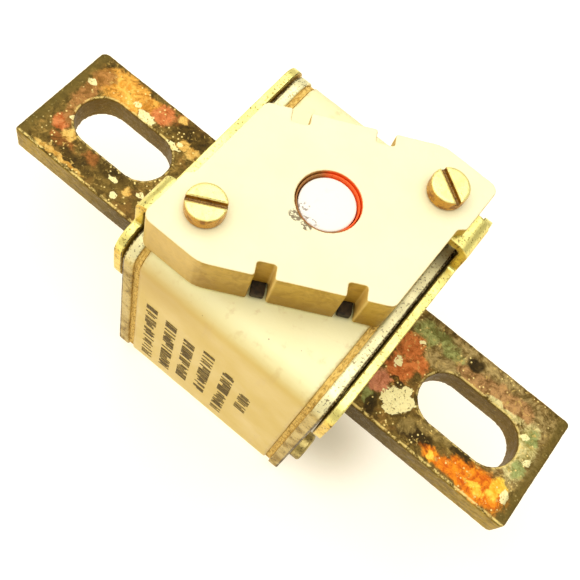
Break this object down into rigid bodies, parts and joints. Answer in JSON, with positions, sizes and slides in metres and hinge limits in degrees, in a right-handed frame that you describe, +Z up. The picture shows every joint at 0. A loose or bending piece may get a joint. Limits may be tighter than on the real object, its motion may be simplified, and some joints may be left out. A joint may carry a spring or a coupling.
{
  "type": "cartridge fuse",
  "caption": "Square-body ceramic cartridge fuse with slotted bolt-on blades, end brackets, a trip indicator and a switch adapter plate.",
  "frame": {"origin": "centre of the underside of the body, between the two end plates", "axes": "+X along the fuse towards the right blade, +Y across the body, +Z up out of the indicator face"},
  "size_m": [0.1164, 0.049, 0.0608],
  "materials": {
    "ceramic": "smooth cream ceramic",
    "gasket": "ochre fibre gasket",
    "end_plate": "dull plated steel",
    "blade": "silver plated copper, heavily tarnished",
    "bracket": "yellow zinc plated steel",
    "fastener": "plated steel",
    "adapter": "moulded cream plastic",
    "liner": "matt black",
    "brass_screw": "machined brass",
    "indicator_red": "red plastic",
    "indicator_white": "white plastic",
    "indicator_tube": "drawn brass",
    "spring": "spring steel",
    "fuse_strip": "bright silver strip",
    "sand": "packed quartz sand"
  },
  "bodies": {
    "fuse": {"ceramic_body": "ceramic", "gasket_left": "gasket", "gasket_right": "gasket", "end_plate_left": "end_plate", "end_plate_right": "end_plate", "contact_blade_left": "blade", "contact_blade_right": "blade", "mounting_bracket_left": "bracket", "mounting_bracket_right": "bracket", "bracket_screw_left_front": "fastener", "bracket_screw_left_rear": "fastener", "bracket_screw_right_front": "fastener", "bracket_screw_right_rear": "fastener", "end_screw_left_front": "fastener", "end_screw_left_rear": "fastener", "end_screw_right_front": "fastener", "end_screw_right_rear": "fastener", "filler_plug": "fastener", "adapter_plate": "adapter", "adapter_liner": "liner", "adapter_screw_left": "brass_screw", "adapter_screw_right": "brass_screw", "indicator_bezel": "indicator_red", "indicator_housing": "indicator_tube", "indicator_spring": "spring", "indicator_wire": "spring", "fuse_strip_1": "fuse_strip", "fuse_strip_2": "fuse_strip", "fuse_strip_3": "fuse_strip", "fuse_strip_4": "fuse_strip", "sand_filler": "sand"},
    "plunger": {"indicator_plunger": "indicator_red", "indicator_cap": "indicator_white"}
  },
  "joints": [
    {"name": "indicator_slide", "type": "slide", "parent": "fuse", "child": "plunger", "axis": [0, 0, 1], "range_m": [0, 0.006], "deforming": ["indicator_spring"]}
  ]
}
